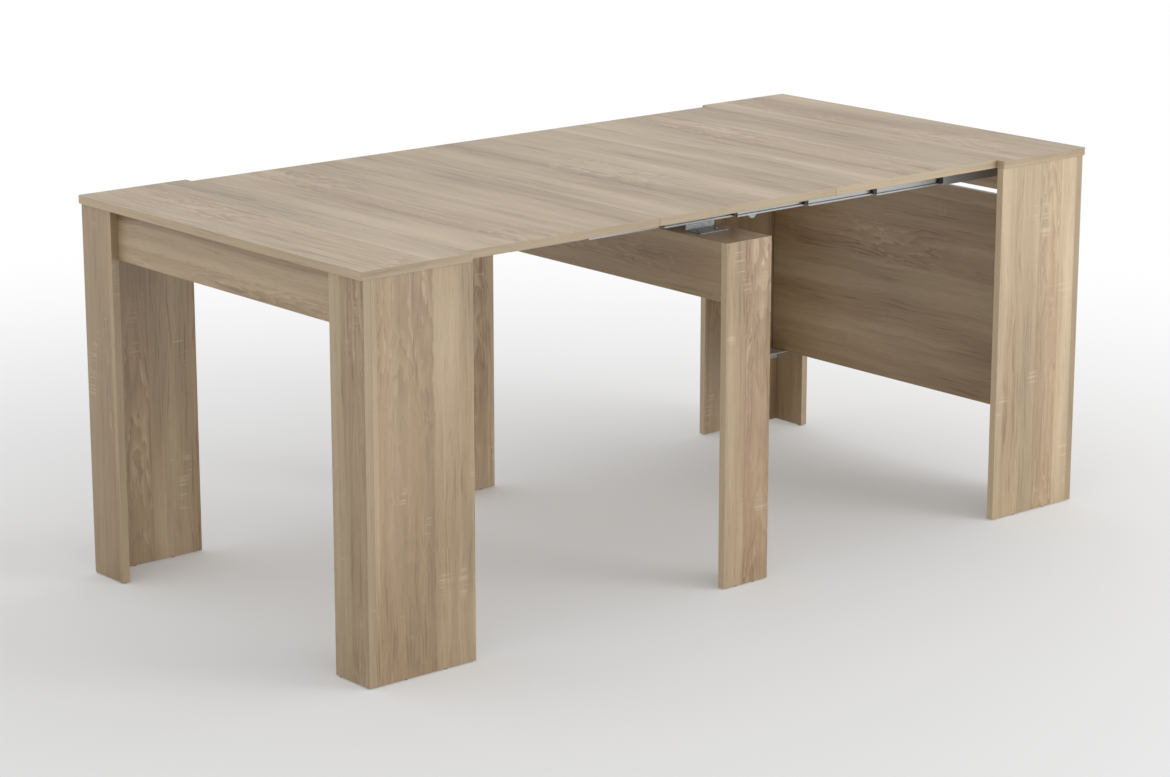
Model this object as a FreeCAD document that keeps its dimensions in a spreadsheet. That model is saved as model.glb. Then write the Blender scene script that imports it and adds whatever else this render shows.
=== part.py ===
"""Extending console table with three leaves, drawn out to its full length.

X runs along the length with the near end at -X, Y to the left, Z up. The origin is on the floor
below the middle of the drawn-out table. All lengths are in millimetres.
"""
import FreeCAD
import Part
import os
import re
import Sketcher

SIZES = (
    ("table_height", 752, "floor to the upper face of tops and leaves"),
    ("table_width", 900, "width of the end tops"),
    ("board", 16, "thickness of every board"),
    ("top_length", 245, "length of each end top"),
    ("leaf_length", 452, "length of each leaf along the table"),
    ("leaf_gap", 0.5, "joint between neighbouring leaves and tops"),
    ("leaf_inset", 20, "how far each leaf edge stands in from the edge of the tops"),
    ("end_overhang", 6, "end tops past the returns"),
    ("side_overhang", 2, "end tops past the side boards"),
    ("return_width", 100, "width of each return across the end"),
    ("apron_height", 97, "height of each apron"),
    ("corner_round", 4, "corner radius of the end tops in plan"),
    ("edge_round", 0.8, "rounding of all board edges"),
    ("glide_height", 2, "thickness of the glides"),
    ("glide_radius", 6, "radius of the glides"),
    ("ledge_level", 172, "floor to the upper face of the leaf ledges"),
    ("ledge_width", 45, "reach of the leaf ledges from the side boards"),
    ("ledge_drop", 25, "height of the flange against the side board"),
    ("ledge_sheet", 2, "sheet thickness of the leaf ledges"),
    ("store_depth", 71, "depth of the leaf store in front of the back panel"),
    ("panel_gap", 12, "gap between the back panel and the far apron"),
    ("end_play", 2, "play between the side boards and what moves or hangs between them"),
    ("frame_width", 115, "width of the middle frame along the table"),
    ("rail_height", 99, "height of the rails below the bridge board"),
    ("rail_setback", 1, "rails behind the leg edges"),
    ("slide_inset", 100, "outer face of the slides in from the leaf edge"),
    ("slide_depth", 9, "thickness of one slide profile"),
    ("slide_gap", 1, "gap between neighbouring profiles"),
    ("slide_height", 43.7, "height of a sliding profile"),
    ("slide_clearance", 0.3, "sliding profiles below the leaves"),
    ("slide_reach", 49, "first profile past the inner edge of the far top"),
    ("slide_overlap", 80, "overlap left between drawn-out profiles"),
    ("slide_wall", 1.5, "wall thickness around slots and chamber"),
    ("slide_slack", 0.4, "clearance of a rib in its slot"),
    ("slot_height", 6, "inner height of a slot"),
    ("slot_mouth", 2.6, "height of the mouth of a slot"),
    ("slot_lip", 1.8, "thickness of the lips of a slot"),
    ("rib_head", 2.4, "thickness of the head of a rib"),
    ("cap_length", 10, "length of an end cap in front of its profile"),
    ("cap_lift", 4, "lower edge of an end cap above the profile's lower edge"),
    ("plug_length", 12, "length of the plug inside the profile"),
    ("bracket_height", 12, "bridge board to the lower face of the slides"),
    ("bracket_length", 73, "length of a slide bracket"),
    ("bracket_foot", 43, "reach of the bracket foot"),
    ("bracket_sheet", 1.5, "sheet thickness of the brackets"),
    ("hem_height", 6, "height of the folded hem of a bracket"),
    ("screw_spread", 44, "distance between the two screws of a bracket"),
    ("screw_radius", 2, "shank radius of the bracket screws"),
    ("screw_length", 11, "shank below the screw head"),
    ("head_radius", 3.6, "radius of the screw heads"),
    ("head_height", 2.2, "height of the screw heads"),
    ("stop_offset", 131, "middle of the stop tabs from the middle of the table"),
    ("stop_length", 22, "length of a stop tab at its upper edge"),
    ("stop_tip", 8, "length of a stop tab at its lower edge"),
    ("stop_height", 7, "height of a stop tab"),
    ("stop_depth", 6, "depth of a stop tab"),
    ("cam_radius", 7.5, "radius of a cam pocket"),
    ("cam_pocket", 12.5, "depth of a cam pocket"),
    ("cam_edge", 34, "middle of a cam from the joint"),
    ("bolt_radius", 3.5, "radius of a bolt bore"),
    ("bolt_bite", 11, "bolt bore in the neighbouring board"),
    ("dowel_radius", 4, "radius of a dowel bore"),
    ("dowel_deep", 20, "dowel bore in the end of a side board"),
    ("dowel_shallow", 10, "dowel bore in the face of a board"),
    ("fit", 0.1, "clearance of fittings in their bores"),
    ("pair_share", 0.3, "place of paired fittings along a board, from each end"),
    ("dowel_share", 0.1, "place of the outer dowels along a joint, from each end"),
)
NAMES = {name for name, value, note in SIZES}
STAGES = 9
MIDDLE = STAGES // 2

doc = FreeCAD.newDocument("extending_table")
sheet = doc.addObject("Spreadsheet::Sheet", "sizes")
for row, (name, value, note) in enumerate(SIZES, 1):
    sheet.set(f"A{row}", note)
    sheet.set(f"B{row}", str(value))
    sheet.setAlias(f"B{row}", name)
doc.recompute()

# Levels and distances from the middle of the table, as formulas of the named sizes.
INNER_EDGE = "((3 * leaf_length + 4 * leaf_gap) / 2)"
OUTER_EDGE = f"({INNER_EDGE} + top_length)"
RETURN_OUT = f"({OUTER_EDGE} - end_overhang)"
RETURN_IN = f"({RETURN_OUT} - board)"
APRON_IN = f"({RETURN_IN} - board)"
SIDE_OUT = "(table_width / 2 - side_overhang)"
SIDE_IN = f"({SIDE_OUT} - board)"
TOP_UNDER = "(table_height - board)"
LEG_OUT = f"({SIDE_IN} - end_play)"
LEG_IN = f"({LEG_OUT} - board)"
SLIDE_BOTTOM = f"({TOP_UNDER} - slide_clearance - slide_height)"
BRIDGE_TOP = f"({SLIDE_BOTTOM} - bracket_height)"
BRIDGE_UNDER = f"({BRIDGE_TOP} - board)"
PITCH = "(slide_depth + slide_gap)"
SLIDE_OUT = "(table_width / 2 - leaf_inset - slide_inset)"
FIRST_NEAR = f"({INNER_EDGE} - slide_reach)"
STEP = f"({FIRST_NEAR} / ({STAGES} / 2 - 1))"

WAYS = {
    "+X": FreeCAD.Vector(1, 0, 0), "-X": FreeCAD.Vector(-1, 0, 0),
    "+Y": FreeCAD.Vector(0, 1, 0), "-Y": FreeCAD.Vector(0, -1, 0),
    "+Z": FreeCAD.Vector(0, 0, 1), "-Z": FreeCAD.Vector(0, 0, -1),
}
ACROSS = FreeCAD.Rotation(FreeCAD.Vector(1, 1, 1), 120)
LENGTHWISE = FreeCAD.Rotation(WAYS["+X"], 90)
HALF_TURN = FreeCAD.Rotation(WAYS["+Z"], 180)
SIDES = (("left", 1), ("right", -1))
nodes = []
corner_of = {}


def bind(target, prop, text):
    """Ties a property to a formula of the sizes in the sheet."""
    formula = re.sub(r"[a-z_]+", lambda word: "sizes." + word[0] if word[0] in NAMES else word[0], text)
    target.setExpression(prop, formula)


def place(target, at, turn=None):
    """Puts an object at three formulas, turned if asked."""
    if turn is not None:
        target.Placement = FreeCAD.Placement(FreeCAD.Vector(), turn)
    for axis, text in zip("xyz", at):
        bind(target, "Placement.Base." + axis, text)


def node(target, label):
    """Marks an object as a sub-part with a file of its own."""
    target.Label = label
    nodes.append(target)
    return target


def group(label, members):
    """Puts loose solids of one kind together as one sub-part."""
    compound = doc.addObject("Part::Compound", label)
    compound.Links = members
    return node(compound, label)


def toward(way, text):
    """Gives a distance from the middle the sign of its side."""
    return text if way > 0 else f"-({text})"


def low(way, near, far):
    """Gives the lower of two distances from the middle on the side asked for."""
    return near if way > 0 else f"-({far})"


def moved(at, way, distance):
    """Moves a point along one of the six ways."""
    spot = "XYZ".index(way[1])
    return [f"{text} {way[0]} {distance}" if axis == spot else text for axis, text in enumerate(at)]


def box(body, name, extent):
    """Adds a block to a body."""
    block = body.newObject("PartDesign::AdditiveBox", name)
    for prop, text in zip(("Length", "Width", "Height"), extent):
        bind(block, prop, text)
    return block


def board(label, extent, at, rounded=False):
    """Makes a board with eased edges, its lower corner at the point given."""
    body = doc.addObject("PartDesign::Body", label)
    last = box(body, label + "_blank", extent)
    picked = [""]
    if rounded:
        doc.recompute()
        corners = body.newObject("PartDesign::Fillet", label + "_corners")
        corners.Base = (last, [f"Edge{spot}" for spot, edge in enumerate(last.Shape.Edges, 1)
                               if edge.Curve.Direction.cross(WAYS["+Z"]).Length < 1 / 2])
        bind(corners, "Radius", "corner_round")
        doc.recompute()
        last = corners
        picked = [f"Face{spot}" for spot, face in enumerate(last.Shape.Faces, 1)
                  if face.normalAt(0, 0).cross(WAYS["+Z"]).Length < 1 / 2]
    eased = body.newObject("PartDesign::Fillet", label + "_eased")
    eased.Base = (last, picked)
    eased.UseAllEdges = not rounded
    bind(eased, "Radius", "edge_round")
    place(body, at)
    corner_of[label] = at
    return node(body, label)


def bore(body, radius, depth, at, way):
    """Bores a board from a point of the table along one of the six ways."""
    tool = body.newObject("PartDesign::SubtractiveCylinder", body.Name + "_bore")
    bind(tool, "Radius", radius)
    bind(tool, "Height", depth)
    local = [f"{text} - ({corner})" for text, corner in zip(at, corner_of[body.Label])]
    place(tool, local, FreeCAD.Rotation(WAYS["+Z"], WAYS[way]))


def pin(name, radius, height, at, way):
    """Makes a loose cylinder."""
    cylinder = doc.addObject("Part::Cylinder", name)
    bind(cylinder, "Radius", radius)
    bind(cylinder, "Height", height)
    place(cylinder, at, FreeCAD.Rotation(WAYS["+Z"], WAYS[way]))
    return cylinder


def joined(kind, name, base, tool):
    """Combines two solids by a boolean of the kind given."""
    result = doc.addObject(kind, name)
    result.Base = base
    result.Tool = tool
    return result


def cam_fitting(name, holder, neighbour, centre, pocket_way, bolt_way):
    """Joins two boards by a cam in a pocket of the holder and a bolt into the neighbour."""
    start = moved(centre, pocket_way, "board / 2")
    reach = "(cam_edge + bolt_bite)"
    bore(holder, "cam_radius", "cam_pocket", centre, pocket_way)
    bore(holder, "bolt_radius", reach, start, bolt_way)
    bore(neighbour, "bolt_radius", reach, start, bolt_way)
    cam = joined("Part::Cut", name + "_cam",
                 pin(name + "_disc", "cam_radius - fit", "cam_pocket", centre, pocket_way),
                 pin(name + "_slot", "bolt_radius", reach, start, bolt_way))
    return [cam, pin(name + "_bolt", "bolt_radius - fit", reach, start, bolt_way)]


def dowel(name, first, second, joint, way, before, after):
    """Joins two boards by a dowel that reaches both ways from the joint."""
    back = "-X" if way == "+X" else "+X"
    bore(first, "dowel_radius", before, joint, back)
    bore(second, "dowel_radius", after, joint, way)
    return pin(name, "dowel_radius - fit", f"{before} + {after}", moved(joint, back, before), way)


def outline(name, rings, turn):
    """Draws closed outlines, each corner held by the formulas of its two distances."""
    sketch = doc.addObject("Sketcher::SketchObject", name)
    sketch.Placement = FreeCAD.Placement(FreeCAD.Vector(), turn)
    first = 0
    for ring in rings:
        count = len(ring)
        spots = [FreeCAD.Vector(1 + spot, 1 + spot * spot, 0) for spot in range(count)]
        for spot in range(count):
            sketch.addGeometry(Part.LineSegment(spots[spot], spots[(spot + 1) % count]), False)
        for spot in range(count):
            following = first + (spot + 1) % count
            sketch.addConstraint(Sketcher.Constraint("Coincident", first + spot, 2, following, 1))
        for spot, corner in enumerate(ring):
            for kind, text, value in zip(("DistanceX", "DistanceY"), corner, spots[spot]):
                held = sketch.addConstraint(Sketcher.Constraint(kind, -1, 1, first + spot, 1, value))
                bind(sketch, f"Constraints[{held}]", text)
        first += count
    return sketch


def drawn(name, sketch, way, length, at, turn=None):
    """Draws an outline out to a solid of the length given."""
    solid = doc.addObject("Part::Extrusion", name)
    solid.Base = sketch
    solid.DirMode = "Custom"
    solid.Dir = WAYS[way]
    solid.Solid = True
    bind(solid, "LengthFwd", length)
    place(solid, at, turn)
    return solid


def along_table(name, sketch, length, hand, near, inner, level):
    """Draws an outline out along the table: as drawn on the left, half turned on the right."""
    if hand > 0:
        return drawn(name, sketch, "+X", length, (near, inner, level))
    return drawn(name, sketch, "+X", length, (f"{near} + {length}", f"-({inner})", level), HALF_TURN)


# End frames: side boards, returns and apron under each end top, all with the same joints.
UPRIGHT = f"({TOP_UNDER} - glide_height)"
SIDE_LENGTH = f"({RETURN_IN} - {INNER_EDGE})"
dowels = {"far": [], "near": []}
far_returns = {}
for end, way in (("far", 1), ("near", -1)):
    outward = "+X" if way > 0 else "-X"
    top = board(end + "_top", ("top_length", "table_width", "board"),
                (low(way, INNER_EDGE, OUTER_EDGE), "-table_width / 2", TOP_UNDER), rounded=True)
    apron = board(end + "_apron", ("board", f"2 * {SIDE_IN}", "apron_height"),
                  (low(way, APRON_IN, RETURN_IN), f"-{SIDE_IN}", f"{TOP_UNDER} - apron_height"))
    fittings = []
    glides = []
    for side, hand in SIDES:
        name = f"{end}_{side}"
        across = "+Y" if hand > 0 else "-Y"
        inner_face = toward(hand, SIDE_IN)
        middle = toward(hand, f"({SIDE_IN} + board / 2)")
        upright = board(f"{end}_side_{side}", (SIDE_LENGTH, "board", UPRIGHT),
                        (low(way, INNER_EDGE, RETURN_IN), low(hand, SIDE_IN, SIDE_OUT), "glide_height"))
        panel = board(f"{end}_return_{side}", ("board", "return_width", UPRIGHT),
                      (low(way, RETURN_IN, RETURN_OUT),
                       low(hand, f"({SIDE_OUT} - return_width)", SIDE_OUT), "glide_height"))
        for spot, share in enumerate(("pair_share", "(1 - pair_share)")):
            along = toward(way, f"({INNER_EDGE} + {share} * {SIDE_LENGTH})")
            fittings += cam_fitting(f"{name}_top_{spot}", upright, top,
                                    (along, inner_face, f"{TOP_UNDER} - cam_edge"), across, "+Z")
            glides.append(pin(f"{name}_glide_{spot}", "glide_radius", "glide_height",
                              (along, middle, "0"), "+Z"))
        fittings += cam_fitting(f"{name}_apron", apron, upright,
                                (toward(way, APRON_IN), toward(hand, f"({SIDE_IN} - cam_edge)"),
                                 f"{TOP_UNDER} - apron_height / 2"), outward, across)
        for spot, share in enumerate(("dowel_share", "1 / 2", "(1 - dowel_share)")):
            joint = (toward(way, RETURN_IN), middle, f"glide_height + {share} * {UPRIGHT}")
            dowels[end].append(dowel(f"{name}_dowel_{spot}", upright, panel, joint, outward,
                                     "dowel_deep", "dowel_shallow"))
        glides.append(pin(f"{name}_return_glide", "glide_radius", "glide_height",
                          (toward(way, f"({RETURN_IN} + board / 2)"),
                           toward(hand, f"({SIDE_OUT} - (1 - dowel_share) * return_width)"), "0"), "+Z"))
        if end == "far":
            far_returns[side] = panel
    group(end + "_cam_fittings", fittings)
    group(end + "_glides", glides)

# Leaf store of the far end: a back panel on two metal ledges, dowelled to the returns.
PANEL_HALF = f"({SIDE_IN} - end_play)"
PANEL_HEIGHT = f"({TOP_UNDER} - apron_height - panel_gap - ledge_level)"
back_panel = board("far_back_panel", ("board", f"2 * {PANEL_HALF}", PANEL_HEIGHT),
                   (APRON_IN, f"-{PANEL_HALF}", "ledge_level"))
ledge_section = outline("ledge_section", [[
    ("0", "ledge_drop - ledge_sheet"), ("ledge_width - ledge_sheet", "ledge_drop - ledge_sheet"),
    ("ledge_width - ledge_sheet", "0"), ("ledge_width", "0"),
    ("ledge_width", "ledge_drop"), ("0", "ledge_drop"),
]], ACROSS)
ledges = []
for side, hand in SIDES:
    ledges.append(along_table(f"leaf_ledge_{side}", ledge_section, "(store_depth + board)", hand,
                              f"({APRON_IN} - store_depth)", f"({SIDE_IN} - ledge_width)",
                              "ledge_level - ledge_drop"))
    for spot, share in enumerate(("dowel_share", "(1 - dowel_share)")):
        joint = (RETURN_IN, toward(hand, f"({SIDE_OUT} - return_width / 2)"),
                 f"ledge_level + {share} * {PANEL_HEIGHT}")
        dowels["far"].append(dowel(f"back_panel_{side}_dowel_{spot}", back_panel, far_returns[side],
                                   joint, "+X", "dowel_shallow", "dowel_shallow"))
group("leaf_ledges", ledges)
for end, members in dowels.items():
    group(end + "_dowels", members)

# Leaves between the end tops, numbered from the near end.
for spot, label in enumerate(("leaf_near", "leaf_middle", "leaf_far")):
    board(label, ("leaf_length", "table_width - 2 * leaf_inset", "board"),
          (f"{spot} * (leaf_length + leaf_gap) + leaf_gap - {INNER_EDGE}",
           "leaf_inset - table_width / 2", TOP_UNDER))

# Middle frame: two legs with a bridge board and two rails between them.
bridge = board("bridge_board", ("frame_width", f"2 * {LEG_IN}", "board"),
               ("-frame_width / 2", f"-{LEG_IN}", BRIDGE_UNDER))
RAIL_OUT = "(frame_width / 2 - rail_setback)"
RAIL_IN = f"({RAIL_OUT} - board)"
rails = {}
for end, way in (("far", 1), ("near", -1)):
    rails[way] = board(f"bridge_rail_{end}", ("board", f"2 * {LEG_IN}", "rail_height"),
                       (low(way, RAIL_IN, RAIL_OUT), f"-{LEG_IN}", f"{BRIDGE_UNDER} - rail_height"))
fittings = []
glides = []
for side, hand in SIDES:
    across = "+Y" if hand > 0 else "-Y"
    leg = board(f"middle_leg_{side}", ("frame_width", "board", f"{BRIDGE_TOP} - glide_height"),
                ("-frame_width / 2", low(hand, LEG_IN, LEG_OUT), "glide_height"))
    cam_line = toward(hand, f"({LEG_IN} - cam_edge)")
    for way, rail in rails.items():
        name = f"bridge_{side}_{rail.Label}"
        along = toward(way, "(1 / 2 - pair_share) * frame_width")
        fittings += cam_fitting(f"{name}_board", bridge, leg, (along, cam_line, BRIDGE_UNDER), "+Z", across)
        fittings += cam_fitting(f"{name}_rail", rail, leg,
                                (toward(way, RAIL_IN), cam_line, f"{BRIDGE_UNDER} - rail_height / 2"),
                                "+X" if way > 0 else "-X", across)
        glides.append(pin(f"{name}_glide", "glide_radius", "glide_height",
                          (along, toward(hand, f"({LEG_IN} + board / 2)"), "0"), "+Z"))
group("bridge_cam_fittings", fittings)
group("middle_glides", glides)

# Slides: nine extruded profiles a side, the ribs of each running in the slots of the next one inward.
# Distances across a profile are counted from the tips of its ribs.
RIB = "(slide_gap + slot_lip + slide_slack + rib_head)"
FRONT = f"({RIB} + slide_depth)"
LIP = f"({FRONT} - slot_lip)"
WEB = f"({LIP} - rib_head - 2 * slide_slack)"
LOWER = "(slide_wall + slot_height / 2)"
UPPER = f"(slide_height - {LOWER})"
CHAMBER_IN = f"({RIB} + slide_wall)"
CHAMBER_OUT = f"({FRONT} - slide_wall)"
CHAMBER_LOW = "(slot_height + 2 * slide_wall)"
CHAMBER_HIGH = f"(slide_height - {CHAMBER_LOW})"


def profile_section(name, slots, ribs, height):
    """Draws the section of a profile, with slots in its outer face and ribs on its inner face as asked."""
    ring = [(RIB, "0"), (FRONT, "0")]
    for centre in (LOWER, UPPER) if slots else ():
        mouth = (f"{centre} - slot_mouth / 2", f"{centre} + slot_mouth / 2")
        inside = (f"{centre} - slot_height / 2", f"{centre} + slot_height / 2")
        ring += [(FRONT, mouth[0]), (LIP, mouth[0]), (LIP, inside[0]), (WEB, inside[0]),
                 (WEB, inside[1]), (LIP, inside[1]), (LIP, mouth[1]), (FRONT, mouth[1])]
    ring += [(FRONT, height), (RIB, height)]
    for centre in (UPPER, LOWER) if ribs else ():
        neck = (f"{centre} - slot_mouth / 2 + slide_slack", f"{centre} + slot_mouth / 2 - slide_slack")
        head = (f"{centre} - slot_height / 2 + slide_slack", f"{centre} + slot_height / 2 - slide_slack")
        ring += [(RIB, neck[1]), ("rib_head", neck[1]), ("rib_head", head[1]), ("0", head[1]),
                 ("0", head[0]), ("rib_head", head[0]), ("rib_head", neck[0]), (RIB, neck[0])]
    chamber = [(CHAMBER_IN, CHAMBER_LOW), (CHAMBER_OUT, CHAMBER_LOW),
               (CHAMBER_OUT, CHAMBER_HIGH), (CHAMBER_IN, CHAMBER_HIGH)]
    return outline(name, [ring, chamber], ACROSS)


def end_cap(name, near, inner, hand):
    """Makes a plastic cap in front of a profile, with a plug in the profile's chamber."""
    body = doc.addObject("PartDesign::Body", name)
    box(body, name + "_cap", ("cap_length", "slide_depth", "slide_height - cap_lift"))
    plug = box(body, name + "_plug", ("plug_length", f"{CHAMBER_OUT} - {CHAMBER_IN} - 2 * fit",
                                      f"{CHAMBER_HIGH} - {CHAMBER_LOW} - 2 * fit"))
    place(plug, ("cap_length", "slide_wall + fit", f"{CHAMBER_LOW} + fit - cap_lift"))
    place(body, (f"{near} - cap_length", low(hand, f"({inner} + {RIB})", f"({inner} + {FRONT})"),
                 f"{SLIDE_BOTTOM} + cap_lift"))
    return body


FIXED_HEIGHT = "slide_height + slide_clearance"
FIXED_LENGTH = f"({APRON_IN} - {FIRST_NEAR})"
first_section = profile_section("first_section", False, True, FIXED_HEIGHT)
stage_section = profile_section("stage_section", True, True, "slide_height")
last_section = profile_section("last_section", True, False, FIXED_HEIGHT)
for stage in range(STAGES):
    label = f"slide_{stage + 1}"
    near = f"({FIRST_NEAR} - {stage} * {STEP})"
    inner = f"({SLIDE_OUT} - {stage} * {PITCH} - {FRONT})"
    section, length = stage_section, f"({STEP} + slide_overlap)"
    if stage == 0:
        section, length = first_section, FIXED_LENGTH
    if stage == STAGES - 1:
        section, length, near = last_section, f"({FIXED_LENGTH} + slide_overlap)", f"-{APRON_IN}"
    for side, hand in SIDES:
        profile = along_table(f"{label}_{side}", section, length, hand, near, inner, SLIDE_BOTTOM)
        node(profile, f"{label}_{side}")
    if stage < STAGES - 1:
        group(f"{label}_caps", [end_cap(f"{label}_cap_{side}", near, inner, hand) for side, hand in SIDES])

# Brackets that hang the middle frame on the fifth profile, and stop tabs under the fourth one.
HANGER_OUT = f"({SLIDE_OUT} - {MIDDLE} * {PITCH})"
HEM_TOP = "(bracket_height - slide_slack)"
bracket_section = outline("bracket_section", [[
    ("0", "bracket_height - bracket_sheet"),
    ("slide_depth - bracket_sheet", "bracket_height - bracket_sheet"),
    ("slide_depth - bracket_sheet", "0"), ("slide_depth + bracket_foot", "0"),
    ("slide_depth + bracket_foot", "bracket_sheet"), ("slide_depth", "bracket_sheet"),
    ("slide_depth", f"{HEM_TOP} - hem_height"), ("slide_depth + bracket_sheet", f"{HEM_TOP} - hem_height"),
    ("slide_depth + bracket_sheet", HEM_TOP), ("slide_depth", HEM_TOP),
    ("slide_depth", "bracket_height"), ("0", "bracket_height"),
]], ACROSS)
stop_section = outline("stop_section", [[
    ("0", "stop_height"), ("(stop_length - stop_tip) / 2", "0"), ("(stop_length + stop_tip) / 2", "0"),
    ("stop_length", "stop_height"),
]], LENGTHWISE)
FOOT_TOP = f"({BRIDGE_TOP} + bracket_sheet)"
screws = []
stops = []
for side, hand in SIDES:
    label = f"slide_bracket_{side}"
    blank = along_table(label + "_blank", bracket_section, "bracket_length", hand, "-bracket_length / 2",
                        f"({HANGER_OUT} - slide_depth)", BRIDGE_TOP)
    screw_line = toward(hand, f"({HANGER_OUT} + bracket_foot / 2)")
    holes = doc.addObject("Part::Compound", label + "_holes")
    tools = []
    for spot, way in enumerate((-1, 1)):
        name = f"{label}_screw_{spot}"
        under_head = (toward(way, "screw_spread / 2"), screw_line, FOOT_TOP)
        bore(bridge, "screw_radius", "screw_length", under_head, "-Z")
        tools.append(pin(name + "_hole", "screw_radius", "screw_length", under_head, "-Z"))
        screws.append(joined("Part::Fuse", name,
                             pin(name + "_head", "head_radius", "head_height", under_head, "+Z"),
                             pin(name + "_shank", "screw_radius - fit", "screw_length", under_head, "-Z")))
    holes.Links = tools
    node(joined("Part::Cut", label, blank, holes), label)
    stop_out = f"({HANGER_OUT} + {PITCH} - (slide_depth - stop_depth) / 2)"
    stops.append(drawn(f"slide_stop_{side}", stop_section, "+Y", "stop_depth",
                       ("stop_offset - stop_length / 2", low(hand, f"({stop_out} - stop_depth)", stop_out),
                        f"{SLIDE_BOTTOM} - stop_height")))
group("bracket_screws", screws)
group("slide_stops", stops)

doc.recompute()
for item in doc.Objects:
    if "Invalid" in item.State or "Error" in item.State:
        raise RuntimeError(f"{item.Label} could not be made: {item.State}")
os.makedirs("parts", exist_ok=True)
for item in nodes:
    if item.Shape.isNull() or not item.Shape.isValid() or not item.Shape.Solids:
        raise RuntimeError(f"{item.Label} has no valid shape")
    item.Shape.exportStep(f"parts/{item.Label}.step")
    print(item.Label, len(item.Shape.Solids), "solids", round(item.Shape.Volume), "mm3")
print(len(nodes), "files")
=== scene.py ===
import math

import bpy
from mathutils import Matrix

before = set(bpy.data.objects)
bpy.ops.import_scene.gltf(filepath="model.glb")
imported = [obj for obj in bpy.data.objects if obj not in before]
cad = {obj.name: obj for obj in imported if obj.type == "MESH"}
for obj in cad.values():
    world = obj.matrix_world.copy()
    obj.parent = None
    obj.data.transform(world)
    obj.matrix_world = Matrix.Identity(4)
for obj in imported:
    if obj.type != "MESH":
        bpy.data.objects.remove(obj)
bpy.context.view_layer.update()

# Far end boards.
# Chipboard 16 mm thick, faced with melamine printed as sawn oak, sawn to size and edged with bands of the
# same print. The grain runs across the table, and up the height of the side and return boards.


def add(tree, kind, inputs=None, **settings):
    """Adds one shader node: settings are its properties, inputs are links or constant values.

    Inputs go by name, or by number where names repeat: a Mix node has its factor at 0, plain values at
    2 and 3, and colours at 6 and 7.
    """
    item = tree.nodes.new(kind)
    for key, value in settings.items():
        setattr(item, key, value)
    for key, value in (inputs or {}).items():
        if isinstance(value, bpy.types.NodeSocket):
            tree.links.new(value, item.inputs[key])
        else:
            item.inputs[key].default_value = value
    return item


def linear(code):
    """Turns an sRGB hex colour into the linear colour that shaders take."""
    parts = [int(code[spot:spot + 2], 16) / 255 for spot in (1, 3, 5)]
    return [part / 12.92 if part <= 0.04045 else ((part + 0.055) / 1.055) ** 2.4 for part in parts] + [1.0]


# The print is one group of nodes that all boards share. Across and Along are places on a board in metres,
# Seed picks its own stretch of the print, and the figured plank lies between Figure from and Figure to.
oak_print = bpy.data.node_groups.new("sawn_oak_print", "ShaderNodeTree")
for socket in ("Across", "Along", "Seed", "Tone", "Contrast", "Saw marks",
               "Figure from", "Figure to", "Figure at"):
    oak_print.interface.new_socket(socket, in_out="INPUT", socket_type="NodeSocketFloat")
oak_print.interface.new_socket("Color", in_out="OUTPUT", socket_type="NodeSocketColor")
oak_print.interface.new_socket("Height", in_out="OUTPUT", socket_type="NodeSocketFloat")
given = add(oak_print, "NodeGroupInput").outputs

# The grain sways: a slow noise, 70 mm wide and 140 mm long, moves the place where the grain is read by a
# few millimetres. Saw marks are read at the straight place.
sway_wide = 70
sway_long = 140
sway_reach = 0.018
straight = add(oak_print, "ShaderNodeCombineXYZ", {0: given["Across"], 1: given["Along"], 2: given["Seed"]})
scaled = add(oak_print, "ShaderNodeVectorMath",
             {0: straight.outputs[0], 1: (1000 / sway_wide, 1000 / sway_long, 1)}, operation="MULTIPLY")
sway = add(oak_print, "ShaderNodeTexNoise", {"Vector": scaled.outputs[0], "Scale": 1.0})
moved = add(oak_print, "ShaderNodeMath", {0: sway.outputs[0], 1: sway_reach, 2: given["Across"]},
            operation="MULTIPLY_ADD")
swayed = add(oak_print, "ShaderNodeCombineXYZ", {0: moved.outputs[0], 1: given["Along"], 2: given["Seed"]})

# Noises stretched along the grain, each with its size in millimetres across the grain and along it, its
# detail and its swirl. Real pores are some 0.3 mm wide, too fine to show, so they are drawn 1.1 mm wide.
grain = {}
for name, spot, wide, long, detail, swirl in (
        ("drift", swayed, 90, 670, 2, 0),
        ("streak", swayed, 16.5, 720, 3, 0),
        ("line", swayed, 2.6, 200, 2, 0),
        ("vein", swayed, 4.4, 125, 2, 0),
        ("pore", swayed, 1.1, 45, 1, 0),
        ("bend", swayed, 59, 200, 2, 0),
        ("curl", swayed, 29, 110, 3, 2.5),
        ("stretch", swayed, 200, 250, 1, 0),
        ("rung", straight, 110, 5.2, 0, 0),
        ("patch", straight, 50, 110, 1, 0)):
    scaled = add(oak_print, "ShaderNodeVectorMath",
                 {0: spot.outputs[0], 1: (1000 / wide, 1000 / long, 1)}, operation="MULTIPLY")
    noise = add(oak_print, "ShaderNodeTexNoise",
                {"Vector": scaled.outputs[0], "Scale": 1.0, "Detail": detail, "Roughness": 0.55,
                 "Distortion": swirl})
    grain[name] = noise.outputs[0]

# Planks of uneven width, 83 mm each on average, with a tone of their own.
planks_in_a_metre = 12.0
shifted = add(oak_print, "ShaderNodeMath", {0: given["Across"], 1: given["Seed"]})
planks = add(oak_print, "ShaderNodeTexVoronoi",
             {"W": shifted.outputs[0], "Scale": planks_in_a_metre, "Randomness": 0.8},
             voronoi_dimensions="1D")
chance = add(oak_print, "ShaderNodeSeparateColor", {0: planks.outputs["Color"]}).outputs

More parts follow.
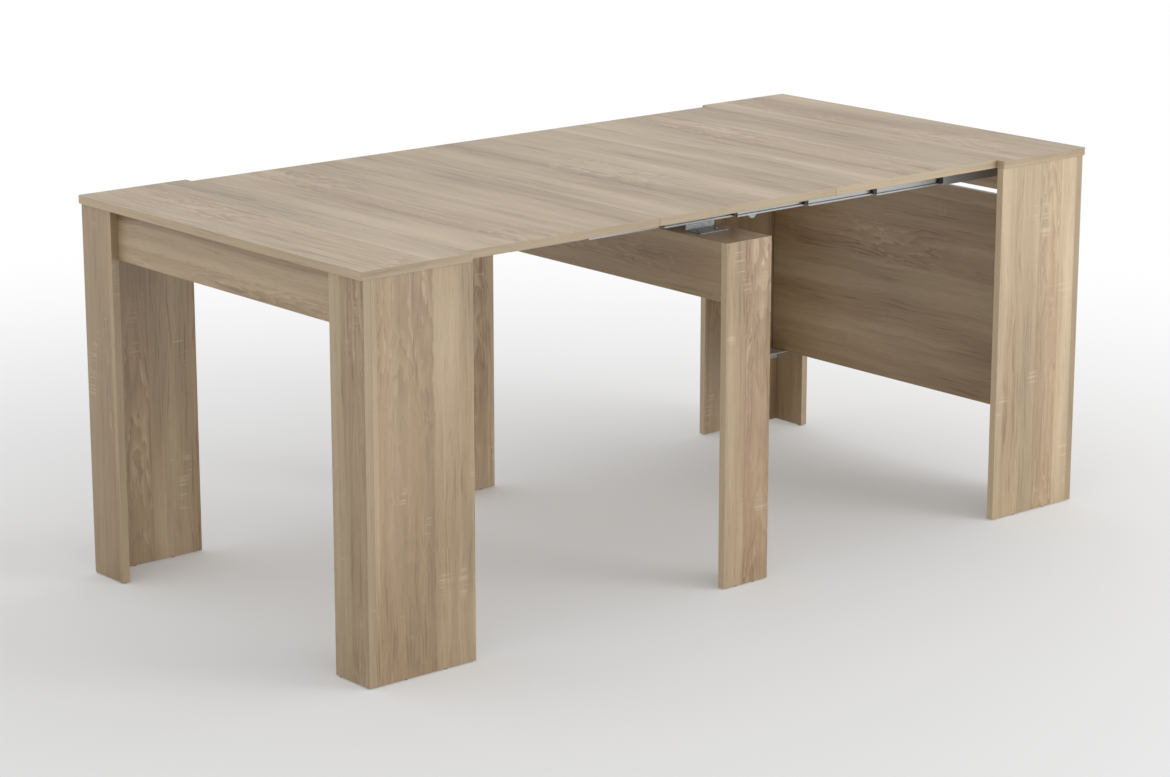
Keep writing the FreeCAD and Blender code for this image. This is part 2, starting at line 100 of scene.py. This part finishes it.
# One plank is figured. Away is 0 on its middle line and 1 at its joints, and inside is 1 all over it.
middle = add(oak_print, "ShaderNodeMath", {0: given["Figure from"], 1: given["Figure to"]})
middle = add(oak_print, "ShaderNodeMath", {0: middle.outputs[0], 1: 0.5}, operation="MULTIPLY")
half = add(oak_print, "ShaderNodeMath", {0: given["Figure to"], 1: middle.outputs[0]}, operation="SUBTRACT")
away = add(oak_print, "ShaderNodeMath", {0: given["Across"], 1: middle.outputs[0]}, operation="SUBTRACT")
away = add(oak_print, "ShaderNodeMath", {0: away.outputs[0], 1: half.outputs[0]}, operation="DIVIDE")
away = add(oak_print, "ShaderNodeMath", {0: away.outputs[0]}, operation="ABSOLUTE")
inside = add(oak_print, "ShaderNodeMapRange", {"Value": away.outputs[0], "From Min": 1.0, "From Max": 0.97})

# Its rings are pointed arches nested along the middle line, 125 mm apart and 2.5 rings deep at the
# joints. The noises bend them, each by a number of rings.
ring_apart = 125
arch_depth = 2.5
arch_point = 1.7
arch = add(oak_print, "ShaderNodeMath", {0: away.outputs[0], 1: arch_point}, operation="POWER")
arch = add(oak_print, "ShaderNodeMath", {0: arch.outputs[0], 1: arch_depth}, operation="MULTIPLY")
arch = add(oak_print, "ShaderNodeMath", {0: given["Along"], 1: 1000 / ring_apart, 2: arch.outputs[0]},
           operation="MULTIPLY_ADD")
for name, rings in (("bend", 5.0), ("streak", 1.2), ("curl", 1.8)):
    arch = add(oak_print, "ShaderNodeMath", {0: grain[name], 1: rings, 2: arch.outputs[0]},
               operation="MULTIPLY_ADD")

# Each ring darkens slowly up to its crest and then steps back to pale.
crest = 0.82
arch = add(oak_print, "ShaderNodeMath", {0: arch.outputs[0]}, operation="FRACT")
rise = add(oak_print, "ShaderNodeMath", {0: arch.outputs[0], 1: crest}, operation="DIVIDE")
fall = add(oak_print, "ShaderNodeMapRange",
           {"Value": arch.outputs[0], "From Min": crest, "From Max": 1.0, "To Min": 1.0, "To Max": 0.0})
arch = add(oak_print, "ShaderNodeMath", {0: rise.outputs[0], 1: fall.outputs[0]}, operation="MINIMUM")

# The figure is strong in some stretches and faint in others. The print repeats every 748 mm along the
# grain, counted from the place where the figure is strongest.
print_repeat = 748
repeat = add(oak_print, "ShaderNodeMath", {0: given["Along"], 1: given["Figure at"]}, operation="SUBTRACT")
repeat = add(oak_print, "ShaderNodeMath", {0: repeat.outputs[0], 1: 1000 * math.tau / print_repeat},
             operation="MULTIPLY")
repeat = add(oak_print, "ShaderNodeMath", {0: repeat.outputs[0]}, operation="COSINE")
power = add(oak_print, "ShaderNodeMath", {0: repeat.outputs[0], 1: 0.18, 2: grain["stretch"]},
            operation="MULTIPLY_ADD")
power = add(oak_print, "ShaderNodeMapRange",
            {"Value": power.outputs[0], "From Min": 0.42, "From Max": 0.62, "To Min": 0.2, "To Max": 1.0})
power = add(oak_print, "ShaderNodeMath", {0: power.outputs[0], 1: inside.outputs[0]}, operation="MULTIPLY")

# Arches darken the figured plank and curls shade it both ways, balanced so that they leave its mean tone
# alone. The plank as a whole is darker than its neighbours, most of all at its joints.
arch_shade = -0.16
curl_shade = 0.5
balance = -0.17
arch = add(oak_print, "ShaderNodeMath", {0: arch.outputs[0], 1: arch_shade, 2: balance},
           operation="MULTIPLY_ADD")
figure = add(oak_print, "ShaderNodeMath", {0: grain["curl"], 1: curl_shade, 2: arch.outputs[0]},
             operation="MULTIPLY_ADD")
figure = add(oak_print, "ShaderNodeMath", {0: figure.outputs[0], 1: power.outputs[0]}, operation="MULTIPLY")
joint = add(oak_print, "ShaderNodeMapRange",
            {"Value": away.outputs[0], "From Min": 0.6, "From Max": 1.0, "To Min": -0.045, "To Max": -0.1})
figure = add(oak_print, "ShaderNodeMath", {0: inside.outputs[0], 1: joint.outputs[0], 2: figure.outputs[0]},
             operation="MULTIPLY_ADD")

# Tone: plank, drift, streaks and fine lines are added to the figure by weight. Dark veins crowd where the
# drift is dark, and the sum is a place between dark and pale oak.
tone = figure
for source, weight in ((chance[2], 0.1), (grain["drift"], 0.5), (grain["streak"], 0.3),
                       (grain["line"], 0.12)):
    offset = add(oak_print, "ShaderNodeMath", {0: source, 1: 0.5}, operation="SUBTRACT")
    tone = add(oak_print, "ShaderNodeMath", {0: offset.outputs[0], 1: weight, 2: tone.outputs[0]},
               operation="MULTIPLY_ADD")
veins = add(oak_print, "ShaderNodeMapRange",
            {"Value": grain["vein"], "From Min": 0.54, "From Max": 0.68, "To Min": 0.0, "To Max": -0.16})
crowd = add(oak_print, "ShaderNodeMapRange", {"Value": grain["drift"], "From Min": 0.58, "From Max": 0.42})
tone = add(oak_print, "ShaderNodeMath", {0: veins.outputs[0], 1: crowd.outputs[0], 2: tone.outputs[0]},
           operation="MULTIPLY_ADD")
tone = add(oak_print, "ShaderNodeMath", {0: tone.outputs[0], 1: given["Contrast"], 2: given["Tone"]},
           operation="MULTIPLY_ADD")
palette = add(oak_print, "ShaderNodeValToRGB", {0: tone.outputs[0]})
shades = palette.color_ramp.elements
shades[0].position = 0.2
shades[0].color = linear("#785E43")
shades[1].position = 0.8
shades[1].color = linear("#C4AE8F")
shades.new(0.42).color = linear("#987F60")
shades.new(0.58).color = linear("#AC9576")

# Some planks are greener than the rest, and the figured plank is warmer.
greens = add(oak_print, "ShaderNodeMapRange",
             {"Value": chance[0], "From Min": 0.3, "From Max": 1.0, "To Min": 0.0, "To Max": 0.2})
green = add(oak_print, "ShaderNodeMix", {0: greens.outputs[0], 6: palette.outputs[0], 7: linear("#A69C7F")},
            data_type="RGBA")
warmth = add(oak_print, "ShaderNodeMath", {0: inside.outputs[0], 1: 0.12}, operation="MULTIPLY")
warm = add(oak_print, "ShaderNodeMix", {0: warmth.outputs[0], 6: green.outputs[2], 7: linear("#A98669")},
           data_type="RGBA")

# Pores are short dark dashes along the grain, and patches have ladders of pale saw marks across it, with
# rungs some 10 mm apart. The print is pressed with a slight relief of its lines and pores.
dashes = add(oak_print, "ShaderNodeMapRange",
             {"Value": grain["pore"], "From Min": 0.58, "From Max": 0.72, "To Min": 0.0, "To Max": 0.35})
pored = add(oak_print, "ShaderNodeMix", {0: dashes.outputs[0], 6: warm.outputs[2], 7: linear("#69523A")},
            data_type="RGBA")
rungs = add(oak_print, "ShaderNodeMapRange", {"Value": grain["rung"], "From Min": 0.54, "From Max": 0.66})
ladders = add(oak_print, "ShaderNodeMapRange", {"Value": grain["patch"], "From Min": 0.63, "From Max": 0.73,
                                                "To Min": 0.0, "To Max": given["Saw marks"]})
marks = add(oak_print, "ShaderNodeMath", {0: rungs.outputs[0], 1: ladders.outputs[0]}, operation="MULTIPLY")
sawn = add(oak_print, "ShaderNodeMix", {0: marks.outputs[0], 6: pored.outputs[2], 7: linear("#D0BEA2")},
           data_type="RGBA")
relief = add(oak_print, "ShaderNodeMath", {0: grain["line"], 1: dashes.outputs[0]}, operation="SUBTRACT")
add(oak_print, "NodeGroupOutput", {"Color": sawn.outputs[2], "Height": relief.outputs[0]})


def start_material(name):
    """Starts a material and gives it with its node tree and the coordinates on its piece."""
    material = bpy.data.materials.new(name)
    material.use_nodes = True
    tree = material.node_tree
    return material, tree, add(tree, "ShaderNodeTexCoord").outputs


def dress(node, material):
    """Gives a CAD node one material in place of what it has."""
    cad[node].data.materials.clear()
    cad[node].data.materials.append(material)


def oak_board(node, axes, seed, tone, contrast, figure):
    """Gives a board the oak print.

    Axes are those of the table across the board's grain, along it and through its thickness. Figure
    holds where the figured plank starts and ends across the grain and where it is strongest along it, in
    metres.
    """
    upright = axes[1] == "Z"
    # A face counts as turned to an axis where its normal lies within about 45 degrees of it.
    facing_limit = 0.7
    band_share = 0.45
    saw_marks = 0.32 if upright else 0.06
    material, tree, place = start_material("oak_melamine_" + node)
    spot = add(tree, "ShaderNodeSeparateXYZ", {0: place["Object"]})
    across, along, through = (spot.outputs[axis] for axis in axes)
    turned = add(tree, "ShaderNodeVectorMath", {0: place["Normal"]}, operation="ABSOLUTE")
    facing = add(tree, "ShaderNodeSeparateXYZ", {0: turned.outputs[0]}).outputs
    # Edge bands are strips of the same print with the grain along the edge, so the print turns there.
    band = add(tree, "ShaderNodeMath", {0: facing[axes[2]], 1: facing_limit}, operation="LESS_THAN")
    cut_end = add(tree, "ShaderNodeMath", {0: facing[axes[1]], 1: facing_limit}, operation="GREATER_THAN")
    crosswise = add(tree, "ShaderNodeMix", {0: band.outputs[0], 2: across, 3: through})
    lengthwise = add(tree, "ShaderNodeMix", {0: cut_end.outputs[0], 2: along, 3: across})
    oak = add(tree, "ShaderNodeGroup",
              {"Across": crosswise.outputs[0], "Along": lengthwise.outputs[0], "Seed": seed, "Tone": tone,
               "Contrast": contrast, "Saw marks": saw_marks, "Figure from": figure[0],
               "Figure to": figure[1], "Figure at": figure[2]}, node_tree=oak_print)
    # Edge bands have a greyer tint of their own. Those that face along the table are painted paler, painted
    # light from the front falling on them, more so on uprights.
    painted_front_light_tint, aside_tint = ("#D8C3A1", "#98896F") if upright else ("#AD9A7D", "#8C7D63")
    painted_front_light_mask = add(tree, "ShaderNodeMath", {0: facing["X"], 1: facing_limit}, operation="GREATER_THAN")
    band_tint_with_painted_light = add(tree, "ShaderNodeMix", {0: painted_front_light_mask.outputs[0], 6: linear(aside_tint), 7: linear(painted_front_light_tint)},
               data_type="RGBA")
    banded = add(tree, "ShaderNodeMath", {0: band.outputs[0], 1: band_share}, operation="MULTIPLY")
    faced = add(tree, "ShaderNodeMix", {0: banded.outputs[0], 6: oak.outputs["Color"], 7: band_tint_with_painted_light.outputs[2]},
                data_type="RGBA")
    # Where the rounding turns a face away from all three axes the band gets a painted highlight, a little
    # paler.
    most = add(tree, "ShaderNodeMath", {0: facing["X"], 1: facing["Y"]}, operation="MAXIMUM")
    most = add(tree, "ShaderNodeMath", {0: most.outputs[0], 1: facing["Z"]}, operation="MAXIMUM")
    edge = add(tree, "ShaderNodeMapRange",
               {"Value": most.outputs[0], "From Min": 0.99, "From Max": 0.9, "To Min": 0.0, "To Max": 0.5})
    painted_edge_highlight = add(tree, "ShaderNodeMix", {0: edge.outputs[0], 6: faced.outputs[2], 7: linear("#B5A488")},
               data_type="RGBA")
    bump = add(tree, "ShaderNodeBump",
               {"Strength": 0.12, "Distance": 0.0006, "Height": oak.outputs["Height"]})
    # Melamine resin with a satin press: a soft sheen that whitens a board seen at a low angle.
    shader = tree.nodes["Principled BSDF"]
    tree.links.new(painted_edge_highlight.outputs[2], shader.inputs["Base Color"])
    tree.links.new(bump.outputs[0], shader.inputs["Normal"])
    shader.inputs["Roughness"].default_value = 0.42
    shader.inputs["IOR"].default_value = 1.6
    dress(node, material)


for node, axes, seed, tone, contrast, figure in (
        ("far_top", "XYZ", 3.1, 0.575, 1.25, (0.74, 0.85, -0.25)),
        ("far_apron", "ZYX", 7.4, 0.5, 1.1, (0.65, 0.69, 0.1)),
        ("far_back_panel", "ZYX", 11.8, 0.475, 1.0, (0.43, 0.52, 0.0)),
        ("far_side_left", "XZY", 15.2, 0.525, 1.4, (0.684, 0.75, 0.4)),
        ("far_side_right", "XZY", 19.6, 0.58, 1.15, (0.792, 0.858, 0.62)),
        ("far_return_left", "YZX", 23.3, 0.52, 1.3, (0.38, 0.44, 0.45)),
        ("far_return_right", "YZX", 27.9, 0.52, 1.3, (-0.44, -0.38, 0.55))):
    oak_board(node, axes, seed, tone, contrast, figure)

# Leaf ledges.
# Two angles of 2 mm zinc-plated sheet, folded, with a flange against each far side board. The back panel
# stands on them, and so do stored leaves.


def zinc_plated(name, dark, pale, metallic):
    """Makes blue-grey plated steel: faint crystals about 6 mm across, and hazy reflections."""
    crystal_wide = 6.25
    material, tree, place = start_material(name)
    crystals = add(tree, "ShaderNodeTexVoronoi", {"Vector": place["Object"], "Scale": 1000 / crystal_wide})
    shade = add(tree, "ShaderNodeSeparateColor", {0: crystals.outputs["Color"]}).outputs
    blend = add(tree, "ShaderNodeMix", {0: shade[0], 6: linear(dark), 7: linear(pale)}, data_type="RGBA")
    haze = add(tree, "ShaderNodeMapRange", {"Value": shade[1], "To Min": 0.34, "To Max": 0.46})
    shader = tree.nodes["Principled BSDF"]
    tree.links.new(blend.outputs[2], shader.inputs["Base Color"])
    tree.links.new(haze.outputs[0], shader.inputs["Roughness"])
    shader.inputs["Metallic"].default_value = metallic
    return material


# The ledges get a paler copy of the zinc than the fittings: painted light that lifts them in the shade
# under the far end.
dress("leaf_ledges", zinc_plated("pale_zinc_plated_steel", "#C2C3C1", "#D6D6D3", 0.2))

# Cam fittings of both ends and of the middle frame.
# Die-cast zinc cams and turned steel bolts, sunk in the boards, darker than the ledges, whose zinc is
# painted paler.
zinc = zinc_plated("zinc_plated_steel", "#7D8183", "#959899", 0.5)
for node in ("far_cam_fittings", "near_cam_fittings", "bridge_cam_fittings"):
    dress(node, zinc)

# Dowels of both ends.
# Turned beech pins, glued into blind bores between returns, side boards and back panel.
fleck_long = 16
fleck_wide = 1.1
beech, tree, place = start_material("raw_beech")
# Warm plain wood with short flecks along the pin.
scaled = add(tree, "ShaderNodeVectorMath",
             {0: place["Object"], 1: (1000 / fleck_long, 1000 / fleck_wide, 1000 / fleck_wide)},
             operation="MULTIPLY")
flecks = add(tree, "ShaderNodeTexNoise", {"Vector": scaled.outputs[0], "Scale": 1.0})
blend = add(tree, "ShaderNodeMix", {0: flecks.outputs[0], 6: linear("#C29A6B"), 7: linear("#DDBB90")},
            data_type="RGBA")
shader = tree.nodes["Principled BSDF"]
tree.links.new(blend.outputs[2], shader.inputs["Base Color"])
shader.inputs["Roughness"].default_value = 0.7
for node in ("far_dowels", "near_dowels"):
    dress(node, beech)

# Glides under every upright board.
# Round pads of moulded grey plastic, 12 mm across and 2 mm thick, under the lower edges of the boards.
scuff_wide = 1.1
pad, tree, place = start_material("grey_glide_plastic")
# Matt grey with slight scuffs, drawn coarser than a moulded grain so that they show.
scuffs = add(tree, "ShaderNodeTexNoise",
             {"Vector": place["Object"], "Scale": 1000 / scuff_wide, "Detail": 3.0})
blend = add(tree, "ShaderNodeMix", {0: scuffs.outputs[0], 6: linear("#5D5853"), 7: linear("#79736D")},
            data_type="RGBA")
shader = tree.nodes["Principled BSDF"]
tree.links.new(blend.outputs[2], shader.inputs["Base Color"])
shader.inputs["Roughness"].default_value = 0.65
for node in ("far_glides", "near_glides", "middle_glides"):
    dress(node, pad)

# Near end boards.
# The same oak-faced chipboard as at the far end, joined by the same fittings and dowels, but without a
# back panel, so that the end stays open for legs.
for node, axes, seed, tone, contrast, figure in (
        ("near_top", "XYZ", 31.5, 0.68, 1.65, (-0.87, -0.77, 0.2)),
        ("near_apron", "ZYX", 35.1, 0.465, 1.1, (0.63, 0.672, -0.15)),
        ("near_side_left", "XZY", 39.7, 0.42, 1.3, (-0.87, -0.79, 0.33)),
        ("near_side_right", "XZY", 43.2, 0.505, 1.2, (-0.892, -0.767, 0.62)),
        ("near_return_left", "YZX", 47.8, 0.45, 1.0, (0.36, 0.385, 0.5)),
        ("near_return_right", "YZX", 51.4, 0.52, 1.1, (-0.46, -0.40, 0.62))):
    oak_board(node, axes, seed, tone, contrast, figure)

# Leaves.
# Three loose pieces of the same board, with the grain across the table, that lie on the slides between
# the end tops and are lifted off by hand.
leaf_contrast = 1.4
for node, seed, tone, figure in (
        ("leaf_near", 55.6, 0.6, (-0.56, -0.45, 0.3)),
        ("leaf_middle", 59.3, 0.57, (-0.06, 0.06, -0.05)),
        ("leaf_far", 63.7, 0.645, (0.42, 0.53, 0.2))):
    oak_board(node, "XYZ", seed, tone, leaf_contrast, figure)

# Middle frame.
# Two legs of the same board with a bridge board and two rails between them, joined by cam fittings and
# hung from the slides by brackets.
for node, axes, seed, tone, contrast, figure in (
        ("middle_leg_left", "XZY", 67.2, 0.63, 1.4, (-0.03, 0.04, 0.4)),
        ("middle_leg_right", "XZY", 71.9, 0.485, 1.4, (-0.009, 0.075, 0.62)),
        ("bridge_board", "XYZ", 75.5, 0.52, 1.0, (-0.02, 0.04, 0.1)),
        ("bridge_rail_near", "ZYX", 79.1, 0.47, 1.0, (0.60, 0.65, -0.1)),
        ("bridge_rail_far", "ZYX", 83.6, 0.52, 1.0, (0.58, 0.63, 0.2))):
    oak_board(node, axes, seed, tone, contrast, figure)

# Slide profiles.
# Nine extruded aluminium profiles a side, natural satin, the ribs of each running in the next one.
line_long = 330
line_apart = 0.7
aluminium, tree, place = start_material("satin_aluminium")
# Pale grey metal with die lines along the profile, which stretch its reflections. Real ones are finer
# than 0.1 mm, too fine to show, so they are drawn 0.7 mm apart.
scaled = add(tree, "ShaderNodeVectorMath",
             {0: place["Object"], 1: (1000 / line_long, 1000 / line_apart, 1000 / line_apart)},
             operation="MULTIPLY")
lines = add(tree, "ShaderNodeTexNoise", {"Vector": scaled.outputs[0], "Scale": 1.0, "Detail": 3.0})
blend = add(tree, "ShaderNodeMix", {0: lines.outputs[0], 6: linear("#9A9C9C"), 7: linear("#B4B6B6")},
            data_type="RGBA")
haze = add(tree, "ShaderNodeMapRange", {"Value": lines.outputs[0], "To Min": 0.26, "To Max": 0.42})
bump = add(tree, "ShaderNodeBump", {"Strength": 0.08, "Distance": 0.0003, "Height": lines.outputs[0]})
shader = tree.nodes["Principled BSDF"]
tree.links.new(blend.outputs[2], shader.inputs["Base Color"])
tree.links.new(haze.outputs[0], shader.inputs["Roughness"])
tree.links.new(bump.outputs[0], shader.inputs["Normal"])
shader.inputs["Metallic"].default_value = 0.25
for stage in range(1, 10):
    for side in ("left", "right"):
        node = f"slide_{stage}_{side}"
        dress(node, aluminium)

# End caps of the profiles.
# Black moulded plastic, pressed into the near end of every profile but the last.
pit_wide = 0.8
scuff_wide = 4
black, tree, place = start_material("black_cap_plastic")
# Nearly black and matt, with slight grey scuffs and a moulded grain that breaks its highlights. The grain
# is drawn coarser than a real one so that it shows.
pits = add(tree, "ShaderNodeTexNoise",
           {"Vector": place["Object"], "Scale": 1000 / pit_wide, "Detail": 2.0})
scuffs = add(tree, "ShaderNodeTexNoise",
             {"Vector": place["Object"], "Scale": 1000 / scuff_wide, "Detail": 3.0})
blend = add(tree, "ShaderNodeMix", {0: scuffs.outputs[0], 6: linear("#101010"), 7: linear("#222222")},
            data_type="RGBA")
haze = add(tree, "ShaderNodeMapRange", {"Value": scuffs.outputs[0], "To Min": 0.45, "To Max": 0.65})
bump = add(tree, "ShaderNodeBump", {"Strength": 0.15, "Distance": 0.0002, "Height": pits.outputs[0]})
shader = tree.nodes["Principled BSDF"]
tree.links.new(blend.outputs[2], shader.inputs["Base Color"])
tree.links.new(haze.outputs[0], shader.inputs["Roughness"])
tree.links.new(bump.outputs[0], shader.inputs["Normal"])
for stage in range(1, 9):
    node = f"slide_{stage}_caps"
    dress(node, black)

# Slide brackets, their screws and the stop tabs.
# Brackets of folded 1.5 mm sheet, screwed to the bridge board, hold it under the fifth profiles, and solid
# stop tabs hang under the fourth. All are zinc-plated steel with the finish of the fittings.
for node in ("slide_bracket_left", "slide_bracket_right", "bracket_screws", "slide_stops"):
    dress(node, zinc)

# Studio floor.
# One large sheet of matt paper, pale grey around the table. It gives a little light of its own everywhere
# and nothing but that light far out, so that it rises to white and has no horizon.
fade_centre = (-0.47, -0.28, 0.0)
fade_from = 0.85
fade_to = 3.65
least_glow = 0.13
bpy.ops.object.select_all(action="DESELECT")
bpy.ops.mesh.primitive_plane_add(size=80)
floor = bpy.context.object
floor.name = "studio_floor"
paper, tree, place = start_material("studio_paper")
reach = add(tree, "ShaderNodeVectorMath", {0: place["Object"], 1: fade_centre}, operation="DISTANCE")
fade = add(tree, "ShaderNodeMapRange", {"Value": reach.outputs["Value"], "From Min": fade_from,
                                        "From Max": fade_to, "To Min": least_glow},
           interpolation_type="SMOOTHSTEP")
matt = add(tree, "ShaderNodeBsdfDiffuse", {"Color": linear("#E8E8E8")})
glow = add(tree, "ShaderNodeEmission", {"Color": linear("#FFFFFF")})
sheet = add(tree, "ShaderNodeMixShader", {0: fade.outputs[0], 1: matt.outputs[0], 2: glow.outputs[0]})
tree.links.new(sheet.outputs[0], tree.nodes["Material Output"].inputs["Surface"])
floor.data.materials.append(paper)

# Studio light.
# A white surround gives nearly all of it, at a plain level, and is plain white where it is seen or
# mirrored. One low soft box on the right lifts the faces on that side.
surround_light = 0.83
surround_seen = 1.0
world = bpy.data.worlds.new("studio_surround")
bpy.context.scene.world = world
world.use_nodes = True
tree = world.node_tree
rays = add(tree, "ShaderNodeLightPath").outputs
seen = add(tree, "ShaderNodeMath", {0: rays["Is Camera Ray"], 1: rays["Is Glossy Ray"]},
           operation="MAXIMUM")
seen = add(tree, "ShaderNodeMath", {0: seen.outputs[0], 1: rays["Is Transmission Ray"]},
           operation="MAXIMUM")
level = add(tree, "ShaderNodeMapRange",
            {"Value": seen.outputs[0], "To Min": surround_light, "To Max": surround_seen})
tree.nodes["Background"].inputs["Color"].default_value = linear("#FFFFFF")
tree.links.new(level.outputs[0], tree.nodes["Background"].inputs["Strength"])
bpy.ops.object.light_add(type="AREA", location=(2.6, -4.2, 1.3),
                         rotation=(math.radians(79.5), 0.0, math.radians(29.7)))
lamp = bpy.context.object
lamp.name = "soft_box_right"
lamp.data.shape = "SQUARE"
lamp.data.size = 2.4
lamp.data.energy = 90.0
lamp.visible_camera = False

# Camera.
# It stands off the near right corner and looks down on the table along the photograph's line.
bpy.ops.object.camera_add(location=(-4.1373, -4.8190, 1.9353),
                          rotation=(math.radians(75.62), 0.0, math.radians(-40.36)))
camera = bpy.context.object
camera.data.sensor_width = 36.0
camera.data.lens = 100.41
camera.data.clip_end = 200.0
bpy.context.scene.camera = camera
bpy.context.scene.view_settings.view_transform = "Standard"
